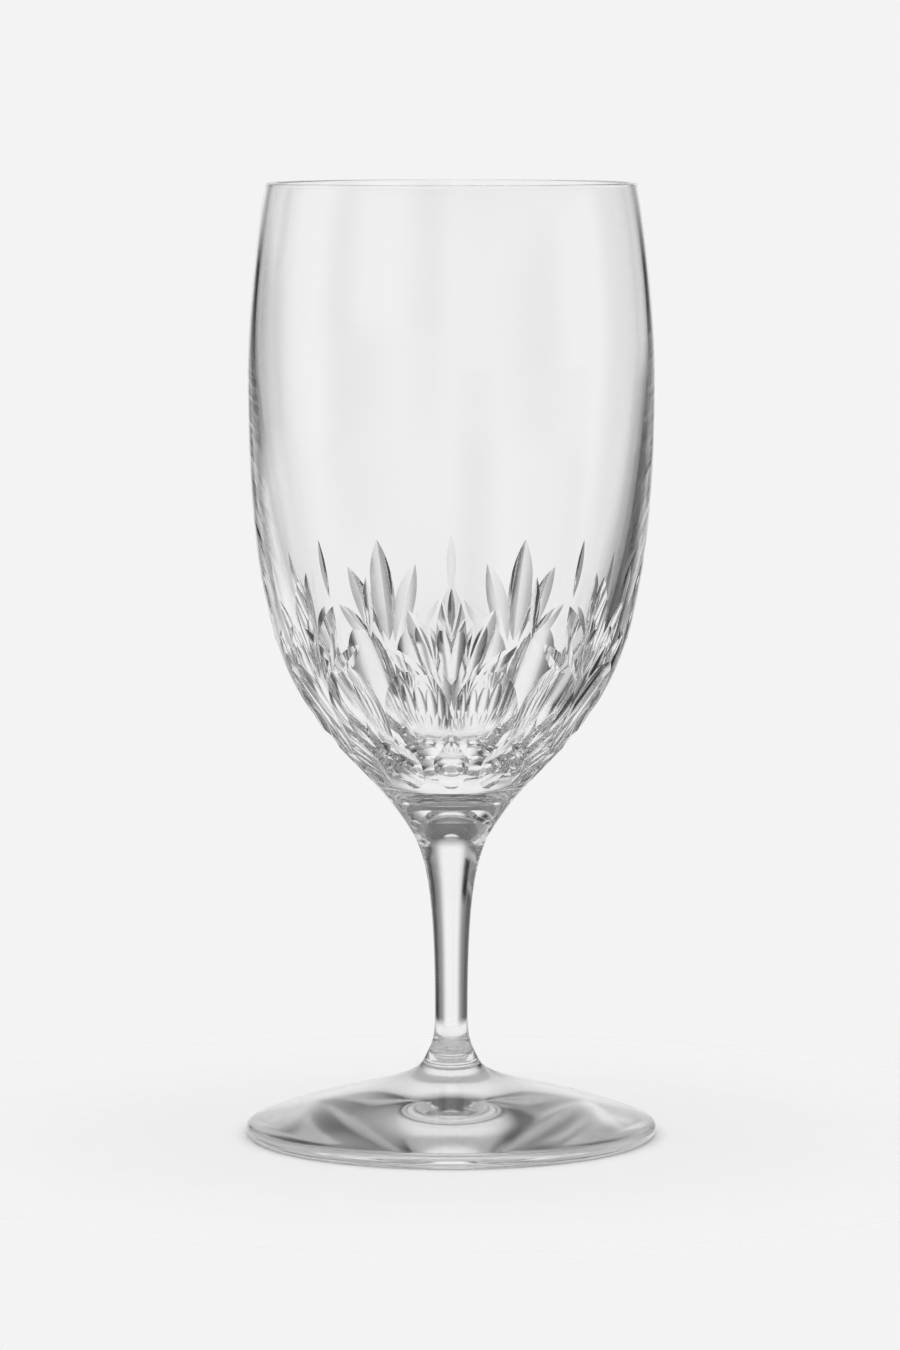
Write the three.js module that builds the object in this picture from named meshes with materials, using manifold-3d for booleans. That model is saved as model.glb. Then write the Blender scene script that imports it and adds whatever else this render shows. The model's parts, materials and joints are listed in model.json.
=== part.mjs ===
// Stemmed iced-beverage glass in clear crystal: a tall cut bowl, a drawn stem and a round foot.
// The three pieces are fused hot, so each meets the next on a flat face.
// Millimetres, +Z up, origin on the table under the middle of the foot.

import * as THREE from 'three';
import { mergeVertices } from 'three/addons/utils/BufferGeometryUtils.js';
import Module from 'manifold-3d';

// Heights of the three pieces, stacked from the table up
const FOOT_HEIGHT = 17.5;
const STEM_LENGTH = 59;
const BOWL_HEIGHT = 139.5;

// Foot: a low cone with a rounded edge, resting on a flat ring round a shallow hollow
const FOOT_RADIUS = 46.7;
const FOOT_EDGE_RADIUS = 1.6;
const FOOT_EDGE_SLOPE = THREE.MathUtils.degToRad(22);
const FOOT_EDGE_HANDLE = 21;
const FOOT_NECK_SLOPE = THREE.MathUtils.degToRad(71);
const FOOT_NECK_HANDLE = 6;
const FOOT_REST_WIDTH = 4;
const FOOT_HOLLOW_DEPTH = 3;

// Stem: widest where it meets the bowl, narrowest just above the foot
const STEM_FOOT_RADIUS = 6.1;
const STEM_WAIST_RADIUS = 3.75;
const STEM_WAIST_HEIGHT = 9;
const STEM_WAIST_HANDLE = 39;
const STEM_WAIST_HANDLE_DOWN = 5;
const STEM_FLARE_HANDLE = 2.5;
const STEM_BOWL_RADIUS = 14;
const STEM_BOWL_SLOPE = THREE.MathUtils.degToRad(54);
const STEM_BOWL_HANDLE = 11.7;

// Bowl, outside: drawn in at the rim, full at the belly, tapering to the stem
const RIM_RADIUS = 41.75;
const RIM_HANDLE = 3.8;
const RIM_LEAN = 0.26;
const BELLY_RADIUS = 45.85;
const BELLY_DROP = 43.5;
const BELLY_HANDLE_UP = 16;
const BELLY_HANDLE_DOWN = 75;
const BOWL_BASE_SLOPE = THREE.MathUtils.degToRad(50);
const BOWL_BASE_HANDLE = 25;

// Bowl, inside: a thin blown lip that grows to a thick wall where it is cut
const RIM_WALL = 1.4;
const BELLY_WALL = 1.7;
const FLOOR_THICKNESS = 7.8;
const INSIDE_HANDLE_DOWN = 45;
const INSIDE_LEAN = 0.05;
const INSIDE_FLOOR_HANDLE = 32;

// Olive cuts: two staggered rows of hollows, each from one distance up the wall to another,
// ground by a wheel with a half-round edge
const LOWER_OLIVE_START = 6;
const LOWER_OLIVE_END = 22.5;
const LOWER_OLIVE_WHEEL_RADIUS = 40;
const LOWER_OLIVE_EDGE_RADIUS = 10;
const UPPER_OLIVE_START = 16;
const UPPER_OLIVE_END = 42;
const UPPER_OLIVE_WHEEL_RADIUS = 60;
const UPPER_OLIVE_EDGE_RADIUS = 14;

// Split cuts: fans of grooves above every second lower olive, and one groove by itself
// between each two fans, ground by a wheel with a sharp edge
const FANS_ROUND = 7;
const FAN_SPLIT_LENGTHS = [16, 20, 24, 20, 16];
const FAN_SPREAD = THREE.MathUtils.degToRad(24);
const FAN_HEEL_HEIGHT = 34;
const FAN_HEEL_GAP = 4;
const LONE_SPLIT_START = 49;
const LONE_SPLIT_END = 63;
const SPLIT_WHEEL_RADIUS = 80;
const SPLIT_WHEEL_WIDTH = 12;
const SPLIT_HALF_ANGLE = THREE.MathUtils.degToRad(63);

// Facets of the round surfaces
const BOWL_SEGMENTS = 56;
const STEM_SEGMENTS = 36;
const FOOT_SEGMENTS = 54;
const UPPER_WALL_STEPS = 6;
const LOWER_WALL_STEPS = 16;
const INSIDE_STEPS = 12;
const RIM_STEPS = 4;
const STEM_STEPS = 12;
const STEM_FLARE_STEPS = 4;
const FOOT_STEPS = 10;
const FOOT_EDGE_STEPS = 5;
const FOOT_HOLLOW_STEPS = 5;
const OLIVE_EDGE_STEPS = 16;
const WHEEL_SEGMENTS = 72;

// Levels that the pieces share
const STEM_BASE = FOOT_HEIGHT;
const BOWL_BASE = STEM_BASE + STEM_LENGTH;
const RIM_LEVEL = BOWL_BASE + BOWL_HEIGHT;
const BELLY_LEVEL = RIM_LEVEL - BELLY_DROP;
const FLOOR_LEVEL = BOWL_BASE + FLOOR_THICKNESS;
const RIM_ARC_LEVEL = RIM_LEVEL - RIM_WALL / 2;

const point = (radius, height) => new THREE.Vector2(radius, height);

const wasm = await Module();
wasm.setup();

// A point on a curve's end tangent: out from the point by a handle's length at a slope.
function handle(from, length, slope) {
  return point(from.x + length * Math.cos(slope), from.y + length * Math.sin(slope));
}

// A quarter or half turn of a small round edge, as profile points.
function arcPoints(centre, radius, startAngle, endAngle, steps) {
  return Array.from({ length: steps + 1 }, (_, i) => {
    const angle = THREE.MathUtils.lerp(startAngle, endAngle, i / steps);
    return handle(centre, radius, angle);
  });
}

// Revolve a profile that runs from the bottom of the axis, outside, to the top of the axis.
function revolve(profile, segments) {
  const distinct = profile.filter((p, i) => i === 0 || p.distanceTo(profile[i - 1]) > 1e-6);
  const geometry = new THREE.LatheGeometry(distinct, segments);
  geometry.rotateX(Math.PI / 2);
  return geometry;
}

function toSolid(geometry) {
  const bare = geometry.clone();
  bare.deleteAttribute('normal');
  bare.deleteAttribute('uv');
  const merged = mergeVertices(bare, 1e-5);
  const index = merged.index.array;
  const corners = [];
  for (let i = 0; i < index.length; i += 3) {
    const [a, b, c] = [index[i], index[i + 1], index[i + 2]];
    if (a !== b && b !== c && c !== a) corners.push(a, b, c);
  }
  return new wasm.Manifold(new wasm.Mesh({
    numProp: 3,
    vertProperties: new Float32Array(merged.attributes.position.array),
    triVerts: new Uint32Array(corners),
  }));
}

function toGeometry(solid) {
  const mesh = solid.getMesh();
  const geometry = new THREE.BufferGeometry();
  geometry.setAttribute('position', new THREE.BufferAttribute(mesh.vertProperties, 3));
  geometry.setIndex(new THREE.BufferAttribute(mesh.triVerts, 1));
  geometry.computeVertexNormals();
  return geometry;
}

// Bowl profile, outside: rim to belly, and belly to the stem
const bowlJoint = point(STEM_BOWL_RADIUS, BOWL_BASE);
const belly = point(BELLY_RADIUS, BELLY_LEVEL);
const rimOutside = point(RIM_RADIUS, RIM_ARC_LEVEL);
const lowerWall = new THREE.CubicBezierCurve(
  bowlJoint,
  handle(bowlJoint, BOWL_BASE_HANDLE, BOWL_BASE_SLOPE),
  point(BELLY_RADIUS, BELLY_LEVEL - BELLY_HANDLE_DOWN),
  belly,
);
const upperWall = new THREE.CubicBezierCurve(
  belly,
  point(BELLY_RADIUS, BELLY_LEVEL + BELLY_HANDLE_UP),
  point(RIM_RADIUS + RIM_HANDLE * RIM_LEAN, RIM_ARC_LEVEL - RIM_HANDLE),
  rimOutside,
);

const outsideWall = new THREE.CurvePath();
outsideWall.add(lowerWall);
outsideWall.add(upperWall);

// Bowl profile, inside: lip to belly, and belly to the round floor
const bellyInside = point(BELLY_RADIUS - BELLY_WALL, BELLY_LEVEL);
const rimInside = point(RIM_RADIUS - RIM_WALL, RIM_ARC_LEVEL);
const upperInside = new THREE.CubicBezierCurve(
  rimInside,
  point(rimInside.x + RIM_HANDLE * RIM_LEAN, RIM_ARC_LEVEL - RIM_HANDLE),
  point(bellyInside.x + BELLY_HANDLE_UP * INSIDE_LEAN, BELLY_LEVEL + BELLY_HANDLE_UP),
  bellyInside,
);
const lowerInside = new THREE.CubicBezierCurve(
  bellyInside,
  point(bellyInside.x - INSIDE_HANDLE_DOWN * INSIDE_LEAN, BELLY_LEVEL - INSIDE_HANDLE_DOWN),
  point(INSIDE_FLOOR_HANDLE, FLOOR_LEVEL),
  point(0, FLOOR_LEVEL),
);

function bowlBlank() {
  const rimCentre = point(RIM_RADIUS - RIM_WALL / 2, RIM_ARC_LEVEL);
  return revolve([
    point(0, BOWL_BASE),
    ...lowerWall.getSpacedPoints(LOWER_WALL_STEPS),
    ...upperWall.getSpacedPoints(UPPER_WALL_STEPS),
    ...arcPoints(rimCentre, RIM_WALL / 2, 0, Math.PI, RIM_STEPS),
    ...upperInside.getSpacedPoints(UPPER_WALL_STEPS),
    ...lowerInside.getSpacedPoints(INSIDE_STEPS),
  ], BOWL_SEGMENTS);
}

// A place on the outside of the bowl: turned round the axis by an angle, and up the wall
// by a distance measured along it from the stem.
function wallPlace(angle, distance) {
  const share = distance / outsideWall.getLength();
  const p = outsideWall.getPoint(share);
  const along = outsideWall.getTangent(share);
  const out = new THREE.Vector3(Math.cos(angle), Math.sin(angle), 0);
  const up = new THREE.Vector3(0, 0, 1);
  return {
    radius: p.x,
    position: out.clone().multiplyScalar(p.x).addScaledVector(up, p.y),
    normal: out.clone().multiplyScalar(along.y).addScaledVector(up, -along.x),
  };
}

const FRONT = -Math.PI / 2;
const OLIVES_ROUND = 2 * FANS_ROUND;
const OLIVE_PITCH = (2 * Math.PI) / OLIVES_ROUND;

// A wheel whose edge passes through both ends of a cut. Its section gives the wheel's radius
// along the axle, from one face to the other.
function wheelCutter(start, end, wheelRadius, section) {
  const chord = end.position.clone().sub(start.position);
  const along = chord.clone().normalize();
  const out = start.normal.clone().add(end.normal);
  out.addScaledVector(along, -out.dot(along)).normalize();
  const axle = new THREE.Vector3().crossVectors(out, along);
  const rise = Math.sqrt(wheelRadius ** 2 - chord.lengthSq() / 4);
  const centre = start.position.clone().addScaledVector(chord, 1 / 2).addScaledVector(out, rise);
  const wheel = new THREE.LatheGeometry(section, WHEEL_SEGMENTS);
  wheel.applyMatrix4(new THREE.Matrix4().makeBasis(along, axle, out).setPosition(centre));
  return toSolid(wheel);
}

// One row of olives. Turn is its stagger, as a share of the pitch.
function oliveCutters(startHeight, endHeight, wheelRadius, edgeRadius, turn) {
  const edgeCentre = point(wheelRadius - edgeRadius, 0);
  const section = [
    point(0, -edgeRadius),
    ...arcPoints(edgeCentre, edgeRadius, -Math.PI / 2, Math.PI / 2, OLIVE_EDGE_STEPS),
    point(0, edgeRadius),
  ];
  return Array.from({ length: OLIVES_ROUND }, (_, i) => {
    const angle = FRONT + (i + turn) * OLIVE_PITCH;
    return wheelCutter(wallPlace(angle, startHeight), wallPlace(angle, endHeight), wheelRadius, section);
  });
}

function splitCutter(start, end) {
  const half = SPLIT_WHEEL_WIDTH / 2;
  const shoulder = SPLIT_WHEEL_RADIUS - half / Math.tan(SPLIT_HALF_ANGLE);
  const section = [
    point(0, -half),
    point(shoulder, -half),
    point(SPLIT_WHEEL_RADIUS, 0),
    point(shoulder, half),
    point(0, half),
  ];
  return wheelCutter(start, end, SPLIT_WHEEL_RADIUS, section);
}

// One fan: splits that spread from a heel, each starting a short gap away from it.
function fanCutters(angle) {
  return FAN_SPLIT_LENGTHS.map((length, i) => {
    const lean = (i - (FAN_SPLIT_LENGTHS.length - 1) / 2) * FAN_SPREAD;
    const [start, end] = [FAN_HEEL_GAP, FAN_HEEL_GAP + length].map((reach) => {
      const distance = FAN_HEEL_HEIGHT + reach * Math.cos(lean);
      const sideways = (reach * Math.sin(lean)) / wallPlace(0, distance).radius;
      return wallPlace(angle + sideways, distance);
    });
    return splitCutter(start, end);
  });
}

function splitCutters() {
  const cutters = [];
  for (let fan = 0; fan < FANS_ROUND; fan += 1) {
    const angle = FRONT + 2 * fan * OLIVE_PITCH;
    const between = angle + OLIVE_PITCH;
    cutters.push(...fanCutters(angle));
    cutters.push(splitCutter(wallPlace(between, LONE_SPLIT_START), wallPlace(between, LONE_SPLIT_END)));
  }
  return cutters;
}

function makeBowl() {
  const cutters = [
    ...oliveCutters(
      LOWER_OLIVE_START, LOWER_OLIVE_END, LOWER_OLIVE_WHEEL_RADIUS, LOWER_OLIVE_EDGE_RADIUS, 0),
    ...oliveCutters(
      UPPER_OLIVE_START, UPPER_OLIVE_END, UPPER_OLIVE_WHEEL_RADIUS, UPPER_OLIVE_EDGE_RADIUS, 1 / 2),
    ...splitCutters(),
  ];
  const cuts = wasm.Manifold.union(cutters);
  return toGeometry(toSolid(bowlBlank()).subtract(cuts));
}

function makeStem() {
  const foot = point(STEM_FOOT_RADIUS, STEM_BASE);
  const waist = point(STEM_WAIST_RADIUS, STEM_BASE + STEM_WAIST_HEIGHT);
  const flare = new THREE.CubicBezierCurve(
    foot,
    point(foot.x - STEM_FLARE_HANDLE / 2, foot.y + STEM_FLARE_HANDLE),
    point(waist.x, waist.y - STEM_WAIST_HANDLE_DOWN),
    waist,
  );
  const draw = new THREE.CubicBezierCurve(
    waist,
    point(waist.x, waist.y + STEM_WAIST_HANDLE),
    handle(bowlJoint, -STEM_BOWL_HANDLE, STEM_BOWL_SLOPE),
    bowlJoint,
  );
  return revolve([
    point(0, STEM_BASE),
    ...flare.getSpacedPoints(STEM_FLARE_STEPS),
    ...draw.getSpacedPoints(STEM_STEPS),
    point(0, BOWL_BASE),
  ], STEM_SEGMENTS);
}

function makeFoot() {
  const neck = point(STEM_FOOT_RADIUS, STEM_BASE);
  const edgeCentre = point(FOOT_RADIUS - FOOT_EDGE_RADIUS, FOOT_EDGE_RADIUS);
  const edgeTurn = Math.PI / 2 - FOOT_EDGE_SLOPE;
  const edge = arcPoints(edgeCentre, FOOT_EDGE_RADIUS, -Math.PI / 2, edgeTurn, FOOT_EDGE_STEPS);
  const shoulder = edge[edge.length - 1];
  const cone = new THREE.CubicBezierCurve(
    shoulder,
    handle(shoulder, FOOT_EDGE_HANDLE, Math.PI - FOOT_EDGE_SLOPE),
    handle(neck, FOOT_NECK_HANDLE, -FOOT_NECK_SLOPE),
    neck,
  );
  const hollowRadius = edgeCentre.x - FOOT_REST_WIDTH;
  const hollow = new THREE.QuadraticBezierCurve(
    point(0, FOOT_HOLLOW_DEPTH),
    point(hollowRadius / 2, FOOT_HOLLOW_DEPTH),
    point(hollowRadius, 0),
  );
  return revolve([
    ...hollow.getPoints(FOOT_HOLLOW_STEPS),
    ...edge,
    ...cone.getSpacedPoints(FOOT_STEPS),
    point(0, STEM_BASE),
  ], FOOT_SEGMENTS);
}

function crystal() {
  return new THREE.MeshStandardMaterial({
    color: 0xf4f6f6,
    roughness: 0.03,
    metalness: 0,
    transparent: true,
    opacity: 0.3,
  });
}

const glass = new THREE.Group();
for (const [name, geometry] of [['foot', makeFoot()], ['stem', makeStem()], ['bowl', makeBowl()]]) {
  const mesh = new THREE.Mesh(geometry, crystal());
  mesh.name = name;
  glass.add(mesh);
}

export default glass;
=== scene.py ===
# %% [markdown]
# Iced beverage glass in clear crystal
# The real glass is three pieces of crystal: a blown bowl, a drawn stem and a pressed foot, fused while
# hot. The lower bowl is then cut on wheels and polished. Each piece is built here as its own closed mesh,
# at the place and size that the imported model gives, so that light bends through it as it does through the
# real one.

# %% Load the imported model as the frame
import json
import math

import bmesh
import bpy
from mathutils import Matrix, Vector
from mathutils.geometry import interpolate_bezier

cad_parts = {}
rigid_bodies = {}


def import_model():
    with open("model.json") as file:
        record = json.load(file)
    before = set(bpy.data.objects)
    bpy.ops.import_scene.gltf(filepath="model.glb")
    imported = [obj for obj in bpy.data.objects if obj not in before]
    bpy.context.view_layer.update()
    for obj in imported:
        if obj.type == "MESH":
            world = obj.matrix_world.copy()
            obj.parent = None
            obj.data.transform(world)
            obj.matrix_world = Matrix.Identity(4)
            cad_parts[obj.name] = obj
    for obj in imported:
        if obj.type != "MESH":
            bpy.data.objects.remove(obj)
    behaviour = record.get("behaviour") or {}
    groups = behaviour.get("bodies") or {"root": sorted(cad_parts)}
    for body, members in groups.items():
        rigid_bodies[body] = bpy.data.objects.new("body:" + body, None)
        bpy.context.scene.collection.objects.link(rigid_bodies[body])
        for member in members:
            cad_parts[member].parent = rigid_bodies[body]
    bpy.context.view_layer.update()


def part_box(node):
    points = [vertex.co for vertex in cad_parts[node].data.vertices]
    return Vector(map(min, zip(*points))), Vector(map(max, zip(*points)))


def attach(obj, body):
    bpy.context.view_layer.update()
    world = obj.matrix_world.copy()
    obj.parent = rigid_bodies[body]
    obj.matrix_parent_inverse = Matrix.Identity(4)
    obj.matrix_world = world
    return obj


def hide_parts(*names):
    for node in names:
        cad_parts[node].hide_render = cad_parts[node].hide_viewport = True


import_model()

MM = 0.001
scene = bpy.context.scene

# %% [markdown]
# The camera
# The photograph looks a little down on the glass from well back, which keeps the rim and the foot as
# narrow ellipses. The distance and the height come from those two ellipses, and the lens from the size of
# the glass in the frame, whose long side is taken as 36 mm.

# %% Camera
CAMERA_DISTANCE = 1348 * MM
CAMERA_HEIGHT = 238 * MM
AIM = Vector((-0.3, 0, 104.9)) * MM
LENS = 159.7
LONG_SIDE = 36

camera_data = bpy.data.cameras.new("camera")
camera_data.lens = LENS
camera_data.sensor_width = LONG_SIDE
camera = bpy.data.objects.new("camera", camera_data)
camera.location = (AIM.x, -CAMERA_DISTANCE, CAMERA_HEIGHT)
camera.rotation_euler = (AIM - camera.location).to_track_quat("-Z", "Y").to_euler()
scene.collection.objects.link(camera)
scene.camera = camera
print("camera looks down by", round(90 - math.degrees(camera.rotation_euler.x), 2), "degrees")

# %% [markdown]
# Levels and radii
# The frame gives the levels where the pieces meet and the widest radii. The other sizes are millimetres
# of the real glass. Those that more than one piece needs come first, and the rest stand with their piece.

# %% Sizes of the glass
foot_low, foot_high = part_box("foot")
bowl_low, bowl_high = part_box("bowl")
TABLE = foot_low[2]
STEM_BASE = foot_high[2]
BOWL_BASE = bowl_low[2]
RIM_LEVEL = bowl_high[2]
FOOT_RADIUS = foot_high[1]
BELLY_RADIUS = bowl_high[1]
BOWL_JOINT_RADIUS = 14 * MM
FOOT_JOINT_RADIUS = 6.1 * MM
print("stem from", round(STEM_BASE / MM, 1), "to", round(BOWL_BASE / MM, 1), "mm above the table")

# %% [markdown]
# Turning a profile
# Blown, drawn and pressed glass is round, so each blank is one profile turned about the axis, as on a
# lathe. A profile is a few Bezier spans and small arcs. A Screw modifier could turn it too, but bmesh's
# spin leaves a plain mesh, and merging the points that fall together closes it.

# %% Profiles and turning
ROUND_STEPS = 240
MERGE_DISTANCE = 0.002 * MM


def at(radius, level):
    """A point of a profile."""
    return Vector((radius, level, 0))


def handle(start, length, slope):
    """A Bezier handle that leaves a point at a slope, in degrees above the level."""
    return start + Vector((math.cos(math.radians(slope)), math.sin(math.radians(slope)), 0)) * length


def arc(centre, radius, first, last, steps):
    """A small round edge, from one angle to another, in degrees."""
    turns = [first + (last - first) * i / steps for i in range(steps + 1)]
    return [handle(centre, radius, turn) for turn in turns]


def turned(name, profile, steps=ROUND_STEPS):
    """A closed mesh turned about the axis from a profile that starts and ends there."""
    shape = bmesh.new()
    points = [shape.verts.new((p.x, 0, p.y)) for p in profile]
    edges = [shape.edges.new(pair) for pair in zip(points, points[1:]) if pair[0].co != pair[1].co]
    bmesh.ops.spin(shape, geom=points + edges, cent=(0, 0, 0), axis=(0, 0, 1), angle=math.tau, steps=steps)
    bmesh.ops.remove_doubles(shape, verts=shape.verts, dist=MERGE_DISTANCE)
    bmesh.ops.recalc_face_normals(shape, faces=shape.faces)
    mesh = bpy.data.meshes.new(name)
    shape.to_mesh(mesh)
    shape.free()
    return mesh


def placed(name, mesh, collection=scene.collection):
    """An object for a mesh."""
    thing = bpy.data.objects.new(name, mesh)
    collection.objects.link(thing)
    return thing


print("blanks are turned in", ROUND_STEPS, "steps")

# %% [markdown]
# The blank of the bowl
# The bowl is blown: a thin lip, melted round by the flame, and a wall that grows towards the base, where
# the cutter needs thick glass. A Solidify modifier gives an even wall, which this isn't, so the outside
# and the inside are drawn, two curves each: from the base to the belly, and on to the lip.

# %% Bowl blank
BELLY_LEVEL = RIM_LEVEL - 43.5 * MM
RIM_RADIUS = 41.75 * MM
RIM_WALL = 1.4 * MM
BELLY_WALL = 1.7 * MM
FLOOR_LEVEL = BOWL_BASE + 7.8 * MM
BASE_SLOPE = 50
BASE_HANDLE = 25 * MM
BELLY_HANDLE_DOWN = 75 * MM
BELLY_HANDLE_UP = 16 * MM
LIP_LEAN = 0.26
LIP_SLOPE = -math.degrees(math.atan(1 / LIP_LEAN))
LIP_HANDLE = 3.9 * MM
INSIDE_LEAN = 0.05
INSIDE_SLOPE = math.degrees(math.atan(1 / INSIDE_LEAN))
INSIDE_HANDLE = 45 * MM
FLOOR_HANDLE = 32 * MM
LOWER_POINTS, UPPER_POINTS, INSIDE_POINTS, LIP_STEPS = 91, 31, 71, 18

bowl_joint = at(BOWL_JOINT_RADIUS, BOWL_BASE)
belly = at(BELLY_RADIUS, BELLY_LEVEL)
lip = at(RIM_RADIUS, RIM_LEVEL - RIM_WALL / 2)
lip_inside = at(RIM_RADIUS - RIM_WALL, lip.y)
belly_inside = at(BELLY_RADIUS - BELLY_WALL, BELLY_LEVEL)

lower_span = (bowl_joint, handle(bowl_joint, BASE_HANDLE, BASE_SLOPE),
              handle(belly, BELLY_HANDLE_DOWN, -90), belly)
lower_wall = interpolate_bezier(*lower_span, LOWER_POINTS)
upper_wall = interpolate_bezier(
    belly, handle(belly, BELLY_HANDLE_UP, 90), handle(lip, LIP_HANDLE, LIP_SLOPE), lip, UPPER_POINTS)
lip_edge = arc((lip + lip_inside) / 2, RIM_WALL / 2, 0, 180, LIP_STEPS)
upper_inside = interpolate_bezier(
    lip_inside, handle(lip_inside, LIP_HANDLE, LIP_SLOPE),
    handle(belly_inside, BELLY_HANDLE_UP, INSIDE_SLOPE), belly_inside, UPPER_POINTS)
lower_inside = interpolate_bezier(
    belly_inside, handle(belly_inside, INSIDE_HANDLE, INSIDE_SLOPE - 180),
    at(FLOOR_HANDLE, FLOOR_LEVEL), at(0, FLOOR_LEVEL), INSIDE_POINTS)
blank = turned("bowl_blank", [
    at(0, BOWL_BASE), *lower_wall, *upper_wall, *lip_edge, *upper_inside, *lower_inside])
print("bowl blank has", len(blank.polygons), "faces")

# %% [markdown]
# Places on the wall
# A cutter marks the cuts out by their distance up the outside wall from the stem. For a tool to be set
# there, a place on the wall needs its position and the way that the wall faces, and both come from the
# blank's own curve.

# %% Places on the wall
FRONT = -math.pi / 2
WALL_POINTS = 801
wall_points = interpolate_bezier(*lower_span, WALL_POINTS)


def wall_place(angle, distance):
    """A place that far up the outside wall, turned by an angle: its position, normal and radius."""
    for low, high in zip(wall_points, wall_points[1:]):
        step = (high - low).length
        if distance <= step:
            break
        distance -= step
    point = low.lerp(high, distance / step)
    along = (high - low).normalized()
    out = Vector((math.cos(angle), math.sin(angle), 0))
    position = out * point.x + Vector((0, 0, point.y))
    normal = out * along.y - Vector((0, 0, along.x))
    return position, normal, point.x


wall_length = sum((high - low).length for low, high in zip(wall_points, wall_points[1:]))
print("wall from the stem to the belly:", round(wall_length / MM, 1), "mm")

# %% [markdown]
# Cutting wheels
# A cutter holds the bowl against a turning stone wheel, and the rim of the wheel leaves a cut that is
# deepest in the middle and runs out to a point where the wheel leaves the wall. A round rim leaves a
# hollow olive, and a rim ground to an edge leaves a split with two flanks. Clear glass shows the depth of
# its cuts, which a bump in the material can't give, so each tool is the part of a rim that enters the
# glass, set so that it passes through both ends of the cut.

# %% Wheel rims
RIM_STEPS = 40
RIM_MARGIN = 1.15


def wheel_rim(start, end, wheel_radius, edge):
    """The rim of a wheel that cuts from one place to another. Its edge is pairs: across, and back."""
    chord = end[0] - start[0]
    along = chord.normalized()
    out = start[1] + end[1]
    out = (out - along * out.dot(along)).normalized()
    axle = out.cross(along)
    centre = (start[0] + end[0]) / 2 + out * math.sqrt(wheel_radius ** 2 - chord.length_squared / 4)
    reach = RIM_MARGIN * math.asin(chord.length / 2 / wheel_radius)
    shape = bmesh.new()
    sections = []
    for i in range(RIM_STEPS + 1):
        turn = reach * (2 * i / RIM_STEPS - 1)
        spoke = along * math.sin(turn) - out * math.cos(turn)
        sections.append([shape.verts.new(centre + axle * across + spoke * (wheel_radius - back))
                         for across, back in edge])
    for near, far in zip(sections, sections[1:]):
        for i in range(len(edge)):
            shape.faces.new((near[i - 1], near[i], far[i], far[i - 1]))
    shape.faces.new(sections[0])
    shape.faces.new(sections[-1])
    bmesh.ops.recalc_face_normals(shape, faces=shape.faces)
    mesh = bpy.data.meshes.new("wheel_rim")
    shape.to_mesh(mesh)
    shape.free()
    return mesh


print("a wheel rim has", RIM_STEPS, "steps")

# %% [markdown]
# Round the bowl
# The same cut is made again all round the bowl. An Array modifier could repeat it, but a tool made once,
# with copies turned about the axis, leaves a plain list of objects. They share a collection, so that one
# Boolean can take them all.

# %% Tools round the bowl
CUTS_ROUND = 14
PITCH = math.tau / CUTS_ROUND
tools = bpy.data.collections.new("cutting tools")
scene.collection.children.link(tools)


def repeat_round(mesh, first, step):
    """Copies of a tool round the bowl: the first one's number of pitches, and every how many after it."""
    for i in range(CUTS_ROUND // step):
        tool = placed("wheel_rim", mesh, tools)
        tool.matrix_world = Matrix.Rotation((first + i * step) * PITCH, 4, "Z")


print("cuts are", round(math.degrees(PITCH), 1), "degrees apart")

# %% [markdown]
# Olives
# Two staggered rows of olives stand round the base, the upper ones longer, because there the bowl is
# wider. A squashed ball would leave a like hollow, but an olive is one pass of a round-edged wheel, set
# by the two ends of the cut, so an arc is the section of its tool.

# %% Olive cuts
OLIVES = [
    {"from": 6 * MM, "to": 22.5 * MM, "wheel": 40 * MM, "round": 10 * MM, "turn": 0.0},
    {"from": 16 * MM, "to": 42 * MM, "wheel": 60 * MM, "round": 14 * MM, "turn": 0.5}]
OLIVE_SWING = 50
OLIVE_STEPS = 24
for olive in OLIVES:
    section = arc(at(0, 0), olive["round"], -OLIVE_SWING, OLIVE_SWING, OLIVE_STEPS)
    edge = [(p.y, olive["round"] - p.x) for p in section]
    ends = [wall_place(FRONT, olive[end]) for end in ("from", "to")]
    repeat_round(wheel_rim(*ends, olive["wheel"], edge), olive["turn"], 1)

# %% [markdown]
# Fans
# Between the upper olives rise seven fans of five splits, with one split by itself between each two. The
# edge of the wheel is worn a little hollow, so each step of a split's flank is steeper than the one
# before it, and the flank bends the light softly. A fan is the same wheel at five leans, so each split
# needs only its two ends.

# %% Split cuts
SPLIT_WHEEL = 80 * MM
SPLIT_TILTS = [22, 24, 26, 28, 30, 32]
SPLIT_STEP = 1 * MM
FAN_HEEL = 34 * MM
FAN_GAP = 4 * MM
FAN_LENGTHS = [16 * MM, 20 * MM, 24 * MM, 20 * MM, 16 * MM]
FAN_SPREAD = math.radians(24)
LONE_SPLIT = [49 * MM, 63 * MM]
flank = [(0, 0)]
for tilt_angle in SPLIT_TILTS:
    across, back = flank[-1]
    flank.append((across + SPLIT_STEP, back + SPLIT_STEP * math.tan(math.radians(tilt_angle))))
split_edge = [(-across, back) for across, back in reversed(flank[1:])] + flank
for blade, length in enumerate(FAN_LENGTHS):
    lean = (blade - (len(FAN_LENGTHS) - 1) / 2) * FAN_SPREAD
    ends = []
    for reach in (FAN_GAP, FAN_GAP + length):
        height = FAN_HEEL + reach * math.cos(lean)
        sideways = reach * math.sin(lean) / wall_place(0, height)[2]
        ends.append(wall_place(FRONT + sideways, height))
    repeat_round(wheel_rim(*ends, SPLIT_WHEEL, split_edge), 0, 2)
lone_ends = [wall_place(FRONT, end) for end in LONE_SPLIT]
repeat_round(wheel_rim(*lone_ends, SPLIT_WHEEL, split_edge), 1, 2)

# %% [markdown]
# Colours and nodes
# Colours are written as sRGB hex, as a paint program shows them, and shaders want them linear. One small
# function adds a node with its settings and links, so that a material reads as a list of what feeds what.

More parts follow.
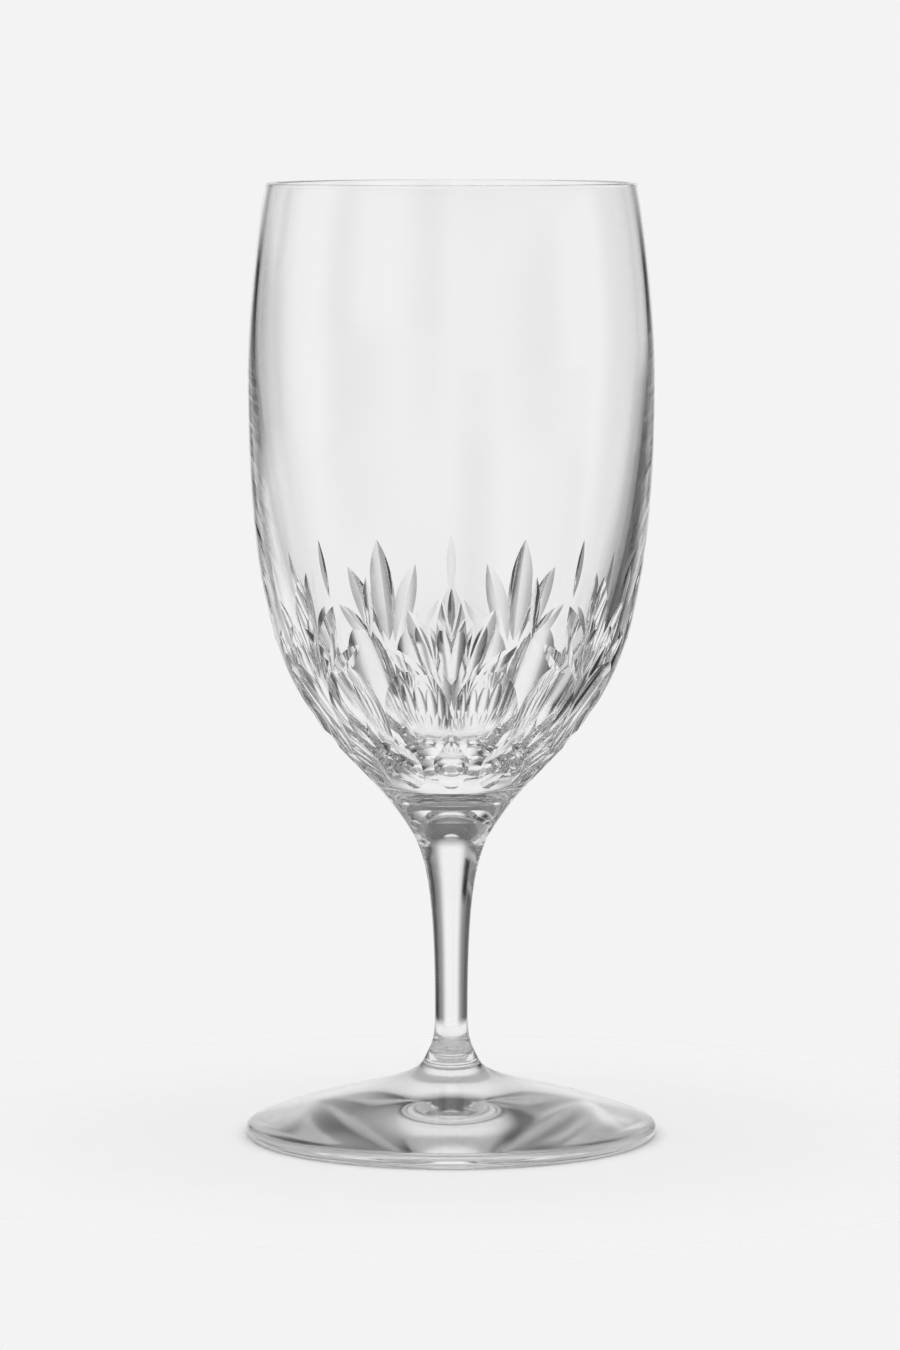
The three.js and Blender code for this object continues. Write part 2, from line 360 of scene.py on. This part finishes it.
# %% Colours and nodes
def linear(hex_colour):
    """An sRGB hex colour as linear red, green, blue and full alpha."""
    parts = [int(hex_colour[i:i + 2], 16) / 255 for i in (1, 3, 5)]
    return [p / 12.92 if p <= 0.04045 else ((p + 0.055) / 1.055) ** 2.4 for p in parts] + [1]


def add(tree, kind, settings=(), links=()):
    """A node with its settings, by attribute or input name or as a ramp's stops, and its links, by input."""
    node = tree.nodes.new(kind)
    for name, value in dict(settings).items():
        if name == "stops":
            ramp = node.color_ramp.elements
            ramp.remove(ramp[1])
            for i, (place, colour) in enumerate(value):
                stop = ramp.new(place) if i else ramp[0]
                stop.position = place
                stop.color = colour
        elif isinstance(name, int) or name in node.inputs:
            node.inputs[name].default_value = value
        else:
            setattr(node, name, value)
    for name, source in dict(links).items():
        tree.links.new(source, node.inputs[name])
    return node


CLEAR = linear("#FFFFFF")
print("clear is", CLEAR)

# %% [markdown]
# Crystal
# The glass is clear lead-free crystal, with an index of about 1.53. What tells the pieces apart is how
# their surfaces were made: flame and blowing leave long soft waves, drawing leaves faint lines down the
# stem, pressing leaves slow ripples and a softer skin on the foot, and the acid that polishes the cuts
# leaves them a little soft. One Principled shader with full transmission gives all of them, each with its
# own relief and polish. A Glass shader would do for a picture, but the export wants the Principled one.

# %% Crystal finishes
CRYSTAL_IOR = 1.53


def crystal(name, wave_mm, stretch, relief_mm, polish):
    """Clear crystal with waves of a real width and height, and a range of roughness."""
    material = bpy.data.materials.new(name)
    material.use_nodes = True
    tree = material.node_tree
    tree.nodes.clear()
    place = add(tree, "ShaderNodeTexCoord")
    spread = add(tree, "ShaderNodeMapping", {"Scale": stretch}, {"Vector": place.outputs["Object"]})
    waves = add(tree, "ShaderNodeTexNoise", {"Scale": 1 / (wave_mm * MM), "Detail": 1.0},
                {"Vector": spread.outputs["Vector"]})
    relief = add(tree, "ShaderNodeBump", {"Strength": 1.0, "Distance": relief_mm * MM},
                 {"Height": waves.outputs["Fac"]})
    gloss = add(tree, "ShaderNodeMapRange", {"To Min": polish[0], "To Max": polish[1]},
                {"Value": waves.outputs["Fac"]})
    glass = add(tree, "ShaderNodeBsdfPrincipled",
                {"Base Color": CLEAR, "Transmission Weight": 1.0, "IOR": CRYSTAL_IOR},
                {"Normal": relief.outputs["Normal"], "Roughness": gloss.outputs["Result"]})
    add(tree, "ShaderNodeOutputMaterial", (), {"Surface": glass.outputs["BSDF"]})
    return material


blown = crystal("blown_crystal", wave_mm=32, stretch=(1, 1, 0.6), relief_mm=0.015, polish=(0.0, 0.004))
cut = crystal("acid_polished_cut_crystal", wave_mm=6, stretch=(1, 1, 1), relief_mm=0.004,
              polish=(0.002, 0.012))
drawn = crystal("drawn_crystal", wave_mm=5, stretch=(1, 1, 0.08), relief_mm=0.004, polish=(0.0, 0.004))
pressed = crystal("pressed_crystal", wave_mm=24, stretch=(1, 1, 1), relief_mm=0.02, polish=(0.045, 0.075))
print("finishes:", [finish.name for finish in (blown, cut, drawn, pressed)])

# %% [markdown]
# The fused joints
# Where two pieces are fused there is no surface left: light goes straight on. One merged mesh would need
# nothing there, but the pieces stay apart, and each mesh needs a closing face. That face gets a finish
# that shows nothing.

# %% Fused joint finish
fused = bpy.data.materials.new("fused_joint")
fused.use_nodes = True
fused_shader = fused.node_tree.nodes["Principled BSDF"]
fused_shader.inputs["Alpha"].default_value = 0.0
fused_shader.inputs["Base Color"].default_value = CLEAR
print("joint finish:", fused.name)

# %% [markdown]
# Finishing a piece
# Polished glass is smooth, and the cuts meet it in sharp edges, so every piece is shaded smooth with its
# creases kept. Its closing faces at the joints get the fused finish, and it takes the place of its plain
# solid.

# %% Finishing a piece
CREASE = math.radians(14)
JOINT_TOLERANCE = 0.01 * MM


def finish_piece(piece, node, finishes, joints):
    """Smooth faces, sharp creases, the piece's finishes, and fused faces at the joint levels."""
    mesh = piece.data
    for finish in finishes:
        if finish.name not in mesh.materials:
            mesh.materials.append(finish)
    mesh.materials.append(fused)
    shape = bmesh.new()
    shape.from_mesh(mesh)
    for face in shape.faces:
        face.smooth = True
        if any(all(abs(v.co.z - level) < JOINT_TOLERANCE for v in face.verts) for level in joints):
            face.material_index = len(mesh.materials) - 1
    for edge in shape.edges:
        edge.smooth = edge.is_manifold and edge.calc_face_angle() < CREASE
    shape.to_mesh(mesh)
    shape.free()
    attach(piece, "root")
    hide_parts(node)
    print(piece.name, "has", len(mesh.polygons), "faces")


print("edges over", round(math.degrees(CREASE)), "degrees stay sharp")

# %% [markdown]
# Grinding the bowl
# A Boolean takes all the tools from the blank at once, as the wheels take the glass away, and each cut
# face keeps its tool's finish. The mesh that is left becomes the bowl, and the blank and the tools go.

# %% Cut the bowl
for tool in tools.objects:
    if not tool.data.materials:
        tool.data.materials.append(cut)
blank.materials.append(blown)
bowl_blank = placed("bowl_blank", blank)
grinding = bowl_blank.modifiers.new("grinding", "BOOLEAN")
grinding.operation = "DIFFERENCE"
grinding.solver = "MANIFOLD"
grinding.operand_type = "COLLECTION"
grinding.collection = tools
grinding.material_mode = "TRANSFER"
ground = bowl_blank.evaluated_get(bpy.context.evaluated_depsgraph_get())
bowl = placed("cut_bowl", bpy.data.meshes.new_from_object(ground))
bpy.data.objects.remove(bowl_blank)
for tool in list(tools.objects):
    bpy.data.objects.remove(tool)
bpy.data.collections.remove(tools)
finish_piece(bowl, "bowl", [blown, cut], [BOWL_BASE])

# %% [markdown]
# The stem
# The stem is drawn from a gather at the bowl's base: widest there, slimmest a little above the foot,
# where it opens again to be welded on. One curve can't hold both ends, so two spans share an upright
# handle at the waist, which keeps the draw in one sweep.

# %% Stem
WAIST_RADIUS = 3.75 * MM
WAIST_LEVEL = STEM_BASE + 9 * MM
WAIST_HANDLE_DOWN = 5 * MM
WAIST_HANDLE_UP = 39 * MM
WELD_HANDLE = Vector((-1.25, 2.5, 0)) * MM
GATHER_SLOPE = 54
GATHER_HANDLE = 11.7 * MM
STEM_STEPS = 144
WELD_POINTS, DRAW_POINTS = 21, 81

stem_foot = at(FOOT_JOINT_RADIUS, STEM_BASE)
waist = at(WAIST_RADIUS, WAIST_LEVEL)
weld_flare = interpolate_bezier(
    stem_foot, stem_foot + WELD_HANDLE, handle(waist, WAIST_HANDLE_DOWN, -90), waist, WELD_POINTS)
draw = interpolate_bezier(
    waist, handle(waist, WAIST_HANDLE_UP, 90),
    handle(bowl_joint, GATHER_HANDLE, GATHER_SLOPE - 180), bowl_joint, DRAW_POINTS)
stem = placed("drawn_stem", turned("drawn_stem", [
    at(0, STEM_BASE), *weld_flare, *draw, at(0, BOWL_BASE)], steps=STEM_STEPS))
finish_piece(stem, "stem", [drawn], [STEM_BASE, BOWL_BASE])

# %% [markdown]
# The foot
# The foot is pressed: a low cone that sweeps up to the stem, a rounded edge, and a flat ring to stand on
# round a shallow hollow. A bevel could round a plain disc, but one turned profile keeps the sweep and the
# edge smooth. The hollow is hidden in the photograph, and its depth is set by the reflections that show
# in the foot.

# %% Foot
FOOT_EDGE = 1.6 * MM
FOOT_EDGE_SLOPE = 22
FOOT_EDGE_HANDLE = 21 * MM
NECK_SLOPE = 71
NECK_HANDLE = 6 * MM
REST_WIDTH = 4 * MM
HOLLOW_DEPTH = 3 * MM
CONE_POINTS, HOLLOW_POINTS, FOOT_EDGE_STEPS = 61, 41, 20

edge_centre = at(FOOT_RADIUS - FOOT_EDGE, TABLE + FOOT_EDGE)
foot_edge = arc(edge_centre, FOOT_EDGE, -90, 90 - FOOT_EDGE_SLOPE, FOOT_EDGE_STEPS)
neck = at(FOOT_JOINT_RADIUS, STEM_BASE)
cone = interpolate_bezier(
    foot_edge[-1], handle(foot_edge[-1], FOOT_EDGE_HANDLE, 180 - FOOT_EDGE_SLOPE),
    handle(neck, NECK_HANDLE, -NECK_SLOPE), neck, CONE_POINTS)
hollow_edge = at(edge_centre.x - REST_WIDTH, TABLE)
hollow_top = at(0, TABLE + HOLLOW_DEPTH)
hollow_bend = at(hollow_edge.x / 2, hollow_top.y)
hollow = interpolate_bezier(
    hollow_top, hollow_top.lerp(hollow_bend, 2 / 3),
    hollow_edge.lerp(hollow_bend, 2 / 3), hollow_edge, HOLLOW_POINTS)
foot = placed("pressed_foot", turned("pressed_foot", [*hollow, *foot_edge, *cone, at(0, STEM_BASE)]))
finish_piece(foot, "foot", [pressed], [STEM_BASE])

# %% [markdown]
# The room and its backdrops
# Clear glass is drawn by what stands round it. A photographer hangs a bright sheet behind the glass, lets
# it fall off to grey at the sides and keeps the rest of the room dim: the middle of the glass shows the
# sheet, and its edges show the dark. Lit cloths could stand here, but a world that is that room, a shade
# for each height, gives the same with less noise. It has sheets behind the glass for each side that it is
# looked at from, and a dark card beside the photograph's own, for the dark line down the stem. The last
# two sheets hang low, for looking at the glass from above. All of it is written in degrees.

# %% Shades of the room
PAPER = linear("#F3F3F3")
ROOM_SHADES = [(-90, "#D0D0D0"), (12, "#D0D0D0"), (20, "#A0A0A0"), (27, "#606060"), (60, "#606060"),
               (90, "#707070")]
PALE_SIDES = [(0, "#F3F3F3"), (11, "#F3F3F3"), (16, "#E0E0E0"), (20, "#BCBCBC"), (25, "#A8A8A8"),
              (31, "#A8A8A8"), (40, "#C0C0C0"), (53, "#CCCCCC")]
DARK_SIDES = [(0, "#F3F3F3"), (11, "#F3F3F3"), (15, "#DCDCDC"), (20, "#BCBCBC"), (25, "#818181"),
              (31, "#505050"), (45, "#383838")]
DARK_CARD = [(0, "#404040"), (90, "#404040")]
BACKDROPS = [
    {"bearing": 180, "bottom": (-16, -12), "top": (12, 24), "reach": (50, 66), "shades": PALE_SIDES},
    {"bearing": 180, "bottom": (-16, -12), "top": (20, 45), "reach": (20, 34), "shades": PALE_SIDES},
    {"bearing": 180, "bottom": (-16, -12), "top": (2, 5), "reach": (40, 62), "shades": DARK_SIDES},
    {"bearing": 90, "bottom": (-91, -90), "top": (12, 24), "reach": (50, 66), "shades": PALE_SIDES},
    {"bearing": 90, "bottom": (-91, -90), "top": (20, 45), "reach": (20, 34), "shades": PALE_SIDES},
    {"bearing": 136, "bottom": (-19, -15), "top": (2, 5), "reach": (6, 26), "shades": DARK_CARD},
    {"bearing": 315, "bottom": (-91, -90), "top": (-8, -5), "reach": (34, 46), "shades": DARK_SIDES},
    {"bearing": 135, "bottom": (-91, -90), "top": (-15, -12), "reach": (20, 32), "shades": PALE_SIDES}]


def stops(shades, low, high):
    """The places and colours of a ramp, from degrees and hex colours."""
    return [((place - low) / (high - low), linear(colour)) for place, colour in shades]


print("backdrops at bearings", [backdrop["bearing"] for backdrop in BACKDROPS])

# %% [markdown]
# Directions in the room
# Where a ray leaves for the room, its direction gives a height in degrees and a level heading. The height
# alone picks the shade of the room. The room is soft all over, so no extra rays are aimed at its bright
# places.

# %% Height and heading
world = bpy.data.worlds.new("studio")
world.use_nodes = True
world.cycles.sampling_method = "NONE"
scene.world = world
studio = world.node_tree
studio.nodes.clear()
facing = add(studio, "ShaderNodeTexCoord").outputs["Generated"]
level = add(studio, "ShaderNodeVectorMath", {"operation": "MULTIPLY", 1: (1, 1, 0)}, {0: facing})
heading = add(studio, "ShaderNodeVectorMath", {"operation": "NORMALIZE"}, {0: level.outputs[0]}).outputs[0]
upright = add(studio, "ShaderNodeSeparateXYZ", (), {0: facing})
tilt = add(studio, "ShaderNodeMath", {"operation": "ARCSINE"}, {0: upright.outputs["Z"]})
height = add(studio, "ShaderNodeMath", {"operation": "DEGREES"}, {0: tilt.outputs[0]}).outputs[0]
height_share = add(studio, "ShaderNodeMapRange", {"From Min": -90, "From Max": 90},
                   {"Value": height}).outputs[0]
room = add(studio, "ShaderNodeValToRGB", {"stops": stops(ROOM_SHADES, -90, 90)}, {0: height_share})
print("room shades:", len(ROOM_SHADES))

# %% [markdown]
# Hanging the sheets
# A sheet is a row of shades by the angle from its middle, and it ends softly above, below and at the
# sides. Each is laid over the room and the sheets before it.

# %% Sheets
surround = room.outputs["Color"]
for backdrop in BACKDROPS:
    bearing = math.radians(backdrop["bearing"])
    middle = (math.cos(bearing), math.sin(bearing), 0)
    beside = add(studio, "ShaderNodeVectorMath", {"operation": "DOT_PRODUCT", 1: middle}, {0: heading})
    turn = add(studio, "ShaderNodeMath", {"operation": "ARCCOSINE"}, {0: beside.outputs["Value"]})
    away = add(studio, "ShaderNodeMath", {"operation": "DEGREES"}, {0: turn.outputs[0]}).outputs[0]
    away_share = add(studio, "ShaderNodeMapRange", {"From Max": 90}, {"Value": away})
    sheet = add(studio, "ShaderNodeValToRGB", {"stops": stops(backdrop["shades"], 0, 90)},
                {0: away_share.outputs[0]})
    low, full_low = backdrop["bottom"]
    full_high, high = backdrop["top"]
    full_wide, wide = backdrop["reach"]
    over = add(studio, "ShaderNodeMapRange", {"From Min": low, "From Max": full_low}, {"Value": height})
    under = add(studio, "ShaderNodeMapRange", {"From Min": high, "From Max": full_high}, {"Value": height})
    within = add(studio, "ShaderNodeMapRange", {"From Min": wide, "From Max": full_wide}, {"Value": away})
    tall = add(studio, "ShaderNodeMath", {"operation": "MULTIPLY"}, {0: over.outputs[0], 1: under.outputs[0]})
    share = add(studio, "ShaderNodeMath", {"operation": "MULTIPLY"},
                {0: tall.outputs[0], 1: within.outputs[0]})
    surround = add(studio, "ShaderNodeMix", {"data_type": "RGBA"}, {
        0: share.outputs[0], 6: surround, 7: sheet.outputs["Color"]}).outputs[2]
print("sheets hung:", len(BACKDROPS))

# %% [markdown]
# The softbox
# A round soft light hangs in front of the glass and above it, and shows small and bright in the thick
# glass over the stem. A lamp would light the table too, so the softbox is a bright round place in the
# room.

# %% Softbox
SOFTBOX = {"bearing": 270, "height": 66, "reach": (10, 15)}
rise = math.radians(SOFTBOX["height"])
heading_out = Matrix.Rotation(math.radians(SOFTBOX["bearing"]), 3, "Z") @ Vector((math.cos(rise), 0, 0))
box_middle = heading_out + Vector((0, 0, math.sin(rise)))
beside = add(studio, "ShaderNodeVectorMath", {"operation": "DOT_PRODUCT", 1: box_middle}, {0: facing})
full_wide, wide = [math.cos(math.radians(reach)) for reach in SOFTBOX["reach"]]
share = add(studio, "ShaderNodeMapRange", {"From Min": wide, "From Max": full_wide},
            {"Value": beside.outputs["Value"]})
surround = add(studio, "ShaderNodeMix", {"data_type": "RGBA", 7: PAPER}, {
    0: share.outputs[0], 6: surround}).outputs[2]
print("softbox hangs towards", [round(v, 2) for v in box_middle])

# %% [markdown]
# What each ray sees
# Glass sees the room. The camera sees plain paper behind everything, as bright as the sheets. The table
# is lit evenly from overhead, so that it comes out as pale as that paper and still keeps the soft shadow
# of the glass.

# %% World light
OVERHEAD_SHADES = [(-90, "#000000"), (12, "#000000"), (30, "#B0B0B0"), (50, "#FFFFFF"), (90, "#FFFFFF")]
OVERHEAD_STRENGTH = 1.5
ray = add(studio, "ShaderNodeLightPath")
seen_in_glass = add(studio, "ShaderNodeBackground", {"Strength": 1.0}, {"Color": surround})
seen_by_camera = add(studio, "ShaderNodeBackground", {"Color": PAPER, "Strength": 1.0})
overhead = add(studio, "ShaderNodeValToRGB", {"stops": stops(OVERHEAD_SHADES, -90, 90)}, {0: height_share})
on_table = add(studio, "ShaderNodeBackground", {"Strength": OVERHEAD_STRENGTH},
               {"Color": overhead.outputs["Color"]})
with_table = add(studio, "ShaderNodeMixShader", (), {
    0: ray.outputs["Diffuse Depth"], 1: seen_in_glass.outputs["Background"],
    2: on_table.outputs["Background"]})
all_rays = add(studio, "ShaderNodeMixShader", (), {
    0: ray.outputs["Is Camera Ray"], 1: with_table.outputs["Shader"],
    2: seen_by_camera.outputs["Background"]})
add(studio, "ShaderNodeOutputWorld", (), {"Surface": all_rays.outputs["Shader"]})
print("world nodes:", len(studio.nodes))

# %% [markdown]
# The table
# The glass stands on matt white paper. An endless plane would show a horizon, so the sheet is round, and
# fades out towards its rim into the plain ground. It lies a hair under the glass, because two faces in
# one plane would flicker.

# %% Table
TABLE_RADIUS = 160 * MM
TABLE_FADE = 70 * MM
TABLE_DROP = 0.05 * MM
TABLE_STEPS = 96
table_shape = bmesh.new()
bmesh.ops.create_circle(table_shape, cap_ends=True, segments=TABLE_STEPS, radius=TABLE_RADIUS)
table_mesh = bpy.data.meshes.new("table")
table_shape.to_mesh(table_mesh)
table_shape.free()
table = placed("table", table_mesh)
table.location.z = TABLE - TABLE_DROP
paper = bpy.data.materials.new("matt_white_paper")
paper.use_nodes = True
tree = paper.node_tree
tree.nodes.clear()
place = add(tree, "ShaderNodeTexCoord").outputs["Object"]
from_middle = add(tree, "ShaderNodeVectorMath", {"operation": "LENGTH"}, {0: place})
fade = add(tree, "ShaderNodeMapRange", {"From Min": TABLE_RADIUS - TABLE_FADE, "From Max": TABLE_RADIUS},
           {"Value": from_middle.outputs["Value"]})
matt = add(tree, "ShaderNodeBsdfDiffuse", {"Color": PAPER})
nothing = add(tree, "ShaderNodeBsdfTransparent")
faded = add(tree, "ShaderNodeMixShader", (), {
    0: fade.outputs["Result"], 1: matt.outputs["BSDF"], 2: nothing.outputs["BSDF"]})
add(tree, "ShaderNodeOutputMaterial", (), {"Surface": faded.outputs["Shader"]})
table_mesh.materials.append(paper)
print("table fades out", round(TABLE_RADIUS / MM), "mm from the axis")

# %% [markdown]
# Black felt
# Black felt beside the glass gives its edges their dark lines. A photographer calls it a flag. Felt is
# matt and dark, and how much of it there is at a place is kept in the mesh, so that its edges can be
# feathered.

# %% Felt
FELT_NAP = linear("#505050")
felt = bpy.data.materials.new("black_felt")
felt.use_nodes = True
tree = felt.node_tree
tree.nodes.clear()
cover = add(tree, "ShaderNodeAttribute", {"attribute_name": "cover"})
nap = add(tree, "ShaderNodeBsdfDiffuse", {"Color": FELT_NAP})
beyond = add(tree, "ShaderNodeBsdfTransparent")
feathered = add(tree, "ShaderNodeMixShader", (), {
    0: cover.outputs["Fac"], 1: beyond.outputs["BSDF"], 2: nap.outputs["BSDF"]})
add(tree, "ShaderNodeOutputMaterial", (), {"Surface": feathered.outputs["Shader"]})
print("flags are of", felt.name)

# %% [markdown]
# Flags
# The flags stand so near that the stem, the foot and the bowl each see another part of them, which the
# room far away can't give: two low ones for the stem and the foot, and two high ones for the bowl. The
# left ones stand further back, where a look down into the mouth doesn't find them. Each is a curved strip
# between two bearings, with its cover written from its lowest level up. They show only in the glass.

# %% Flags
FLAGS = [
    {"from": 16, "to": 70, "feather": 20, "distance": 200 * MM,
     "levels": [(-60 * MM, 0.0), (-20 * MM, 1.0), (140 * MM, 1.0), (170 * MM, 0.0)]},
    {"from": 110, "to": 164, "feather": 20, "distance": 400 * MM,
     "levels": [(80 * MM, 0.0), (100 * MM, 0.65), (165 * MM, 0.65), (205 * MM, 0.0)]},
    {"from": 46, "to": 64, "feather": 6, "distance": 200 * MM,
     "levels": [(120 * MM, 0.0), (145 * MM, 1.0), (200 * MM, 1.0), (230 * MM, 0.0)]},
    {"from": 108, "to": 126, "feather": 6, "distance": 600 * MM,
     "levels": [(40 * MM, 0.0), (70 * MM, 1.0), (205 * MM, 1.0), (235 * MM, 0.0)]}]
FLAG_STEP = 2


def stand_flag(first, last, feather, distance, levels):
    """A curved flag between two bearings, with its cover at each level and its sides feathered."""
    shape = bmesh.new()
    covers = []
    columns = []
    for bearing in range(first, last + 1, FLAG_STEP):
        side = min(1, (bearing - first) / feather, (last - bearing) / feather)
        out = Vector((math.cos(math.radians(bearing)), math.sin(math.radians(bearing)), 0)) * distance
        columns.append([shape.verts.new(out + Vector((0, 0, TABLE + level))) for level, _ in levels])
        covers += [side * share for _, share in levels]
    for near, far in zip(columns, columns[1:]):
        for i in range(len(near) - 1):
            shape.faces.new((near[i], far[i], far[i + 1], near[i + 1]))
    mesh = bpy.data.meshes.new("flag")
    shape.to_mesh(mesh)
    shape.free()
    mesh.attributes.new("cover", "FLOAT", "POINT").data.foreach_set("value", covers)
    mesh.materials.append(felt)
    flag = placed("flag", mesh)
    flag.visible_camera = False
    flag.visible_diffuse = False
    print("flag from", first, "to", last, "degrees,", round(distance / MM), "mm from the axis")


for strip in FLAGS:
    stand_flag(strip["from"], strip["to"], strip["feather"], strip["distance"], strip["levels"])

# %% [markdown]
# Rendering glass
# Light crosses many surfaces in cut crystal, so it needs more bounces than Blender's default before it is
# given up for dark.

# %% Light paths and view
BOUNCES = 64
scene.cycles.max_bounces = BOUNCES
scene.cycles.transmission_bounces = BOUNCES
scene.cycles.glossy_bounces = BOUNCES
scene.cycles.transparent_max_bounces = BOUNCES // 2
scene.view_settings.view_transform = "Standard"
print("bounces:", BOUNCES)
